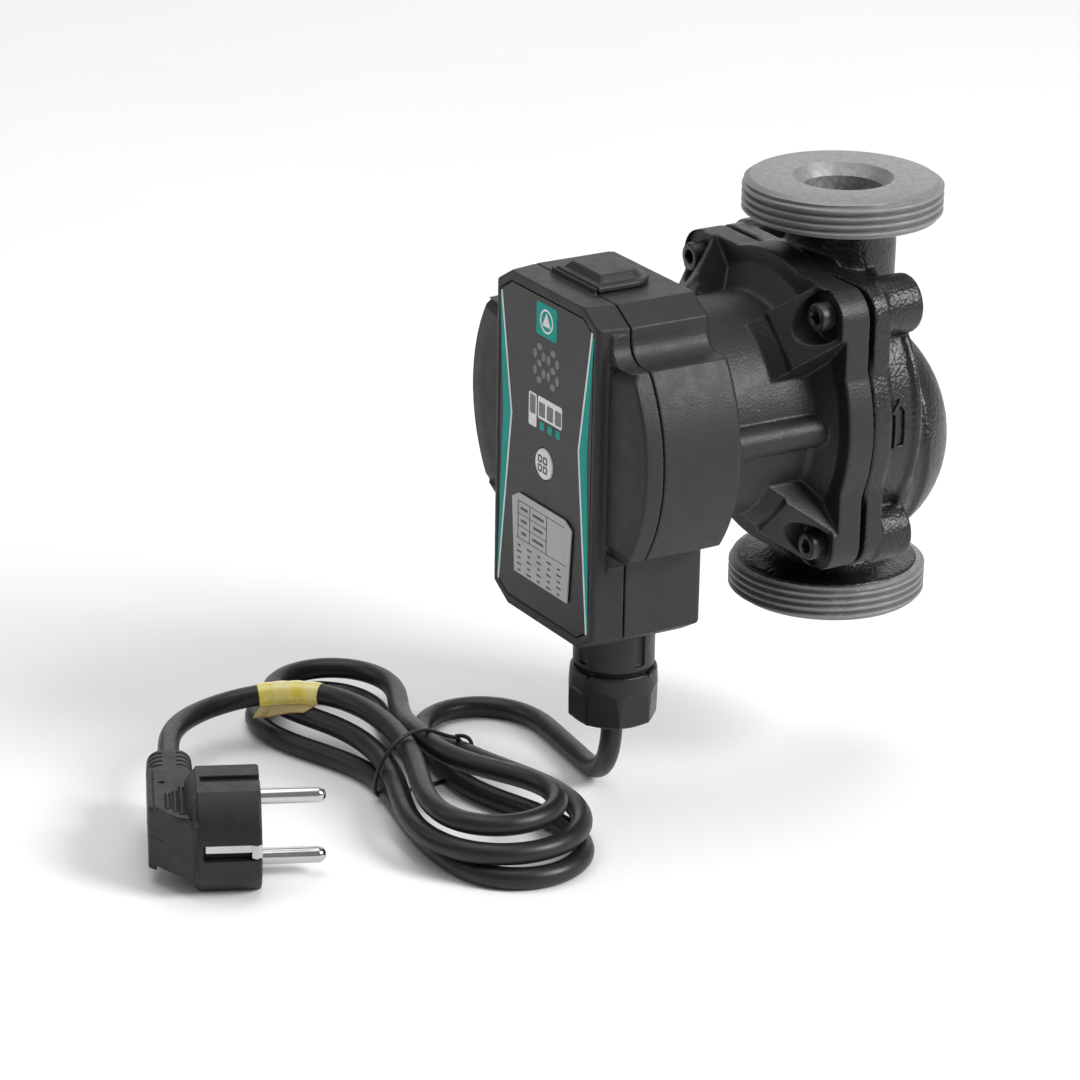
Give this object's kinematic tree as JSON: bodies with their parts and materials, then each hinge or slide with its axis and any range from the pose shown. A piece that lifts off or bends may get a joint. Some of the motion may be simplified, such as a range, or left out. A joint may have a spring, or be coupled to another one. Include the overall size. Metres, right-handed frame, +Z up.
{
  "type": "circulator pump",
  "caption": "Wet-rotor heating circulator: in-line threaded ports, lugged motor flange, square control box with a mode button, cable gland and a tied mains lead with an angled plug.",
  "frame": {"origin": "centre of the lower port face, where the lower pipe union seals", "axes": "+Z up the pipe from the lower to the upper port, -Y from the pipe axis to the control box front, +X to the right seen from the control box"},
  "size_m": [0.1624, 0.2532, 0.184],
  "materials": {
    "cast_iron_paint": "gloss black paint over cast iron, bare grey on the threads",
    "motor_paint": "satin black paint on die-cast aluminium",
    "screw_black": "black oxide",
    "stainless": "drawn stainless steel",
    "gasket_rubber": "matt black",
    "lamination": "varnished laminations",
    "copper_winding": "enamelled copper wire",
    "carbon_bearing": "carbon",
    "ceramic_shaft": "ground ceramic",
    "magnet": "sintered magnet",
    "impeller_plastic": "glass-filled plastic",
    "box_plastic": "fine spark-eroded texture",
    "overlay_film": "printed polyester film, teal stripes and white marks",
    "label_film": "light grey printed label with ruled lines",
    "button_white": "white with grey squares",
    "board": "green circuit board",
    "capacitor": "sleeved capacitor",
    "terminal": "green terminal block",
    "gland_plastic": "moulded polyamide",
    "cord_sheath": "semi-matt black cable sheath",
    "tie_plastic": "black coated wire tie",
    "tag_paper": "yellow tag, no text",
    "plug_plastic": "moulded plug",
    "plug_metal": "nickel-plated brass"
  },
  "bodies": {
    "pump": {"volute_casing": "cast_iron_paint", "wear_ring": "stainless", "casing_gasket": "gasket_rubber", "motor_housing": "motor_paint", "flange_screw_upper_left": "screw_black", "flange_screw_upper_right": "screw_black", "flange_screw_lower_left": "screw_black", "flange_screw_lower_right": "screw_black", "stator_core": "lamination", "stator_windings": "copper_winding", "rotor_can": "stainless", "bearing_plate": "stainless", "front_bearing": "carbon_bearing", "rear_bearing": "carbon_bearing", "control_box_cover": "box_plastic", "control_box_shell": "box_plastic", "front_overlay": "overlay_film", "rating_label": "label_film", "button_dome": "stainless", "control_board": "board", "filter_capacitor": "capacitor", "terminal_block": "terminal", "cable_entry_cap": "box_plastic", "gland_body": "gland_plastic", "gland_locknut": "gland_plastic", "gland_seal": "gasket_rubber", "gland_nut": "gland_plastic", "supply_cable_end": "cord_sheath", "cord_lead": "cord_sheath", "cord_tail": "cord_sheath", "cord_hank": "cord_sheath", "cord_tie": "tie_plastic", "cord_tag": "tag_paper", "plug_body": "plug_plastic", "plug_sleeve": "plug_plastic", "plug_pin_upper": "plug_metal", "plug_pin_lower": "plug_metal", "plug_earth_contact_near": "plug_metal", "plug_earth_contact_far": "plug_metal"},
    "rotor": {"rotor_shaft": "ceramic_shaft", "rotor_magnet": "magnet", "rotor_sleeve": "stainless", "thrust_washer": "carbon_bearing", "impeller": "impeller_plastic", "impeller_cover": "impeller_plastic"},
    "button": {"mode_button": "button_white"}
  },
  "joints": [
    {"name": "rotor_spin", "type": "hinge", "parent": "pump", "child": "rotor", "pos_m": [0, 0, 0.0655], "axis": [0, -1, 0], "continuous": true},
    {"name": "button_press", "type": "slide", "parent": "pump", "child": "button", "axis": [0, 1, 0], "range_m": [0, 0.0005], "stiffness_N_per_m": 1500, "springref_m": -0.0003}
  ]
}
